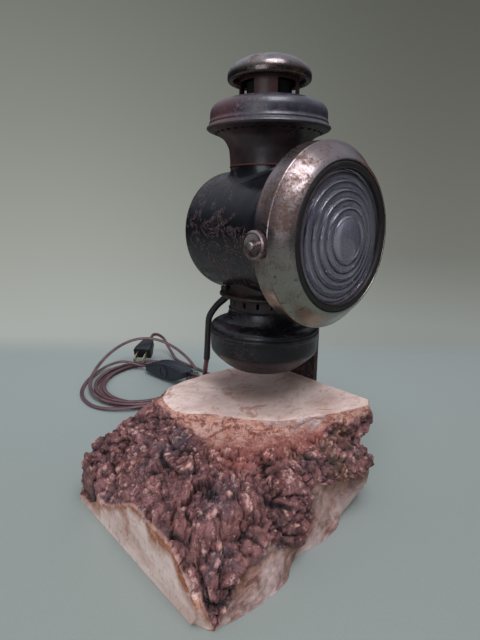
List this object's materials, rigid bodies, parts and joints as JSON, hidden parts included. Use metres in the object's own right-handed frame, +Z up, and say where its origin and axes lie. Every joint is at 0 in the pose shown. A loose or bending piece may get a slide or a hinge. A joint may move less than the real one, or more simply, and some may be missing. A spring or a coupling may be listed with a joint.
{
  "type": "motor-car side lamp table lamp",
  "caption": "Round bull's-eye motor-car side lamp with a vented chimney, wired for a bulb and bracketed to a burl block, with cord, switch and plug.",
  "frame": {"origin": "where the lamp's upright axis meets the table, on the block's underside", "axes": "+Z up, the lens looks along -Y, the latch knob is on -X and the bracket and door hinge on +X"},
  "size_m": [0.2489, 0.4299, 0.3322],
  "materials": {
    "burl_wood": "rough bark, sawn faces",
    "bracket_steel": "dull, worn",
    "black_paint": "worn gloss",
    "brown_steel": "worn satin",
    "nickel": "tarnished",
    "brass": "dull",
    "screw_steel": "dull",
    "reflector_metal": "satin",
    "lens_glass": "clear, faintly violet",
    "bulb_glass": "frosted",
    "black_rubber": "matt",
    "phenolic": "matt",
    "cord_vinyl": "satin",
    "switch_plastic": "soft gloss",
    "plug_plastic": "matt",
    "tie_plastic": "gloss"
  },
  "bodies": {
    "stand": {"burl_block": "burl_wood", "bracket_plate": "bracket_steel", "block_screws": "screw_steel", "lug": "black_paint", "lug_bolts": "screw_steel", "barrel": "black_paint", "body_back": "black_paint", "body_mouth": "black_paint", "collar": "black_paint", "body_flange": "black_paint", "air_ring": "brown_steel", "fount_top": "black_paint", "fount_bowl": "black_paint", "neck": "brown_steel", "hood": "brown_steel", "draught_tube": "brown_steel", "vent_gallery": "brown_steel", "cap": "nickel", "body_hinge": "black_paint", "hinge_pin": "screw_steel", "latch_stud": "brass", "reflector": "reflector_metal", "socket_strap": "brass", "socket_rivets": "brass", "socket_cap": "phenolic", "socket_shell": "brass", "bulb_base": "brass", "bulb_glass": "bulb_glass", "inner_lead": "cord_vinyl", "cord_grommet": "black_rubber", "cord_sleeve": "black_rubber", "cord_drop": "cord_vinyl", "cord_coil": "cord_vinyl", "cord_link": "cord_vinyl", "cord_tail": "cord_vinyl", "cord_tie": "tie_plastic", "switch_back": "switch_plastic", "switch_front": "switch_plastic", "switch_screws": "screw_steel", "plug_body": "plug_plastic", "plug_blades": "brass"},
    "door": {"door_bezel": "nickel", "lens": "lens_glass", "lens_gasket": "black_rubber", "lens_ring": "nickel", "door_hinge": "nickel"},
    "knob": {"latch_knob": "nickel"},
    "dial": {"switch_dial": "switch_plastic"}
  },
  "joints": [
    {"name": "door_hinge", "type": "hinge", "parent": "stand", "child": "door", "pos_m": [0.0695, -0.0485, 0.204], "axis": [0, 0, 1], "range_deg": [0, 100]},
    {"name": "knob_turn", "type": "hinge", "parent": "stand", "child": "knob", "pos_m": [-0.07, -0.0575, 0.2018], "axis": [-1, 0, 0], "continuous": true},
    {"name": "dial_turn", "type": "hinge", "parent": "stand", "child": "dial", "pos_m": [0.0412, 0.2158, 0.0138], "axis": [-0.9945, -0.1045, 0], "continuous": true}
  ]
}
